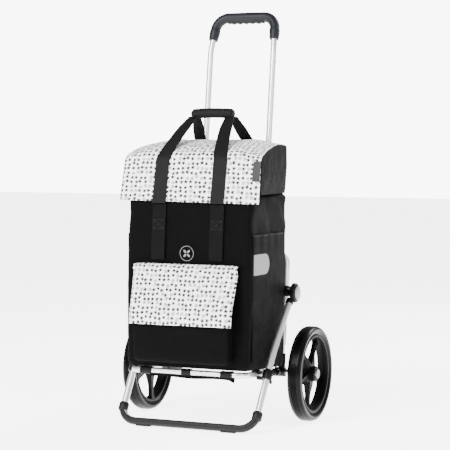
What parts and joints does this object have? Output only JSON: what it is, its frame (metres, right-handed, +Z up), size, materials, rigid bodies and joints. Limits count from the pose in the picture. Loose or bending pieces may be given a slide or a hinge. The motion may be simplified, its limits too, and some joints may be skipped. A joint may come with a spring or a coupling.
{
  "type": "shopping trolley",
  "caption": "Two-wheeled shopping trolley with a fabric bag, telescopic handle, fold-up platform and swing-back stand on a leaning tube frame.",
  "frame": {"origin": "on the ground, at the bottom centre of the bounding box", "axes": "+Z up, +X to the trolley's right as seen from the front, front faces -Y"},
  "size_m": [0.5226, 0.4537, 1.0899],
  "materials": {
    "aluminium_tube": "satin anodised tube",
    "zinc_steel": "zinc plated",
    "black_plastic": "finely textured black moulding",
    "grip_plastic": "soft-touch charcoal",
    "soft_rubber": "matt moulded rubber",
    "silver_plastic": "silver-grey moulding",
    "tyre_rubber": "satin black foam tyre",
    "black_fabric": "coated polyester plain weave",
    "printed_fabric": "white coated weave with a small dark floral print",
    "webbing": "ribbed black webbing",
    "pale_tape": "plain light grey coated tape"
  },
  "bodies": {
    "chassis": {"rear_frame": "aluminium_tube", "guide_tube_left": "aluminium_tube", "guide_tube_right": "aluminium_tube", "guide_collar_left": "black_plastic", "guide_collar_right": "black_plastic", "upper_yoke": "black_plastic", "lower_yoke": "black_plastic", "axle": "zinc_steel", "axle_bracket_left": "black_plastic", "axle_bracket_right": "black_plastic", "platform_bolt_left": "zinc_steel", "platform_bolt_right": "zinc_steel", "knob_bracket_left": "black_plastic", "knob_bracket_right": "black_plastic", "bag_shell": "black_fabric", "badge": "silver_plastic", "side_pocket_left": "black_fabric", "side_pocket_right": "black_fabric", "side_tab_left": "pale_tape", "side_tab_right": "pale_tape", "front_webbing_left": "webbing", "front_webbing_right": "webbing", "pocket_body": "black_fabric"},
    "handle": {"handle_bow": "aluminium_tube", "grip": "grip_plastic", "finger_grip": "soft_rubber"},
    "handle_release_left": {"handle_release_left": "silver_plastic"},
    "handle_release_right": {"handle_release_right": "silver_plastic"},
    "platform": {"platform_bow": "aluminium_tube", "platform_end_left": "black_plastic", "platform_end_right": "black_plastic", "tie_loop_left": "webbing", "tie_loop_centre": "webbing", "tie_loop_right": "webbing", "base_board": "black_plastic"},
    "stand": {"stand_bow": "aluminium_tube", "foot_sleeve": "soft_rubber", "saddle_clip_left": "black_plastic", "saddle_clip_right": "black_plastic", "knob_housing_left": "black_plastic", "knob_housing_right": "black_plastic"},
    "knob_button_left": {"knob_button_left": "silver_plastic"},
    "knob_button_right": {"knob_button_right": "silver_plastic"},
    "wheel_left": {"tyre_left": "tyre_rubber", "rim_left": "black_plastic", "bearing_left": "zinc_steel"},
    "wheel_right": {"tyre_right": "tyre_rubber", "rim_right": "black_plastic", "bearing_right": "zinc_steel"},
    "wheel_button_left": {"wheel_button_left": "silver_plastic"},
    "wheel_button_right": {"wheel_button_right": "silver_plastic"},
    "lid": {"lid": "printed_fabric", "lid_label": "pale_tape"},
    "front_loop": {"front_strap_left": "webbing", "front_strap_right": "webbing", "carry_wrap": "webbing"},
    "rear_loop": {"rear_strap_left": "webbing", "rear_strap_right": "webbing"},
    "pocket_flap": {"pocket_flap": "printed_fabric"}
  },
  "joints": [
    {"name": "handle_slide", "type": "slide", "parent": "chassis", "child": "handle", "axis": [0, -0.1219, -0.9925], "range_m": [0, 0.243]},
    {"name": "platform_fold", "type": "hinge", "parent": "chassis", "child": "platform", "pos_m": [0, 0.04209, 0.13], "axis": [-1, 0, 0], "range_deg": [0, 90], "deforming": ["bag_shell", "pocket_body"]},
    {"name": "stand_swing", "type": "hinge", "parent": "chassis", "child": "stand", "pos_m": [0, 0.07909, 0.338], "axis": [1, 0, 0], "range_deg": [0, 30]},
    {"name": "lid_hinge", "type": "hinge", "parent": "chassis", "child": "lid", "pos_m": [0, 0.13136, 0.726], "axis": [-1, 0, 0], "range_deg": [0, 80], "deforming": ["front_strap_left", "front_strap_right"]},
    {"name": "front_loop_fall", "type": "hinge", "parent": "chassis", "child": "front_loop", "pos_m": [0, -0.16191, 0.581], "axis": [1, 0, 0], "range_deg": [0, 160]},
    {"name": "rear_loop_fall", "type": "hinge", "parent": "chassis", "child": "rear_loop", "pos_m": [0, 0.13136, 0.726], "axis": [-1, 0, 0], "range_deg": [0, 80]},
    {"name": "pocket_flap_hinge", "type": "hinge", "parent": "chassis", "child": "pocket_flap", "pos_m": [0, -0.17091, 0.421], "axis": [-1, 0, 0], "range_deg": [0, 110]},
    {"name": "handle_release_left_push", "type": "slide", "parent": "chassis", "child": "handle_release_left", "axis": [0, -0.9925, 0.1219], "range_m": [0, 0.003], "stiffness_N_per_m": 400},
    {"name": "knob_button_left_push", "type": "slide", "parent": "stand", "child": "knob_button_left", "axis": [1, 0, 0], "range_m": [0, 0.002], "stiffness_N_per_m": 600},
    {"name": "wheel_left_spin", "type": "hinge", "parent": "chassis", "child": "wheel_left", "pos_m": [-0.2375, 0.09509, 0.125], "axis": [1, 0, 0], "continuous": true},
    {"name": "wheel_button_left_push", "type": "slide", "parent": "wheel_left", "child": "wheel_button_left", "axis": [1, 0, 0], "range_m": [0, 0.0025], "stiffness_N_per_m": 400},
    {"name": "handle_release_right_push", "type": "slide", "parent": "chassis", "child": "handle_release_right", "axis": [0, -0.9925, 0.1219], "range_m": [0, 0.003], "stiffness_N_per_m": 400},
    {"name": "knob_button_right_push", "type": "slide", "parent": "stand", "child": "knob_button_right", "axis": [-1, 0, 0], "range_m": [0, 0.002], "stiffness_N_per_m": 600},
    {"name": "wheel_right_spin", "type": "hinge", "parent": "chassis", "child": "wheel_right", "pos_m": [0.2375, 0.09509, 0.125], "axis": [1, 0, 0], "continuous": true},
    {"name": "wheel_button_right_push", "type": "slide", "parent": "wheel_right", "child": "wheel_button_right", "axis": [-1, 0, 0], "range_m": [0, 0.0025], "stiffness_N_per_m": 400}
  ],
  "couplings": [
    {"joint": "front_loop_fall", "follows": "lid_hinge", "ratio": 2},
    {"joint": "rear_loop_fall", "follows": "lid_hinge", "ratio": 1}
  ]
}
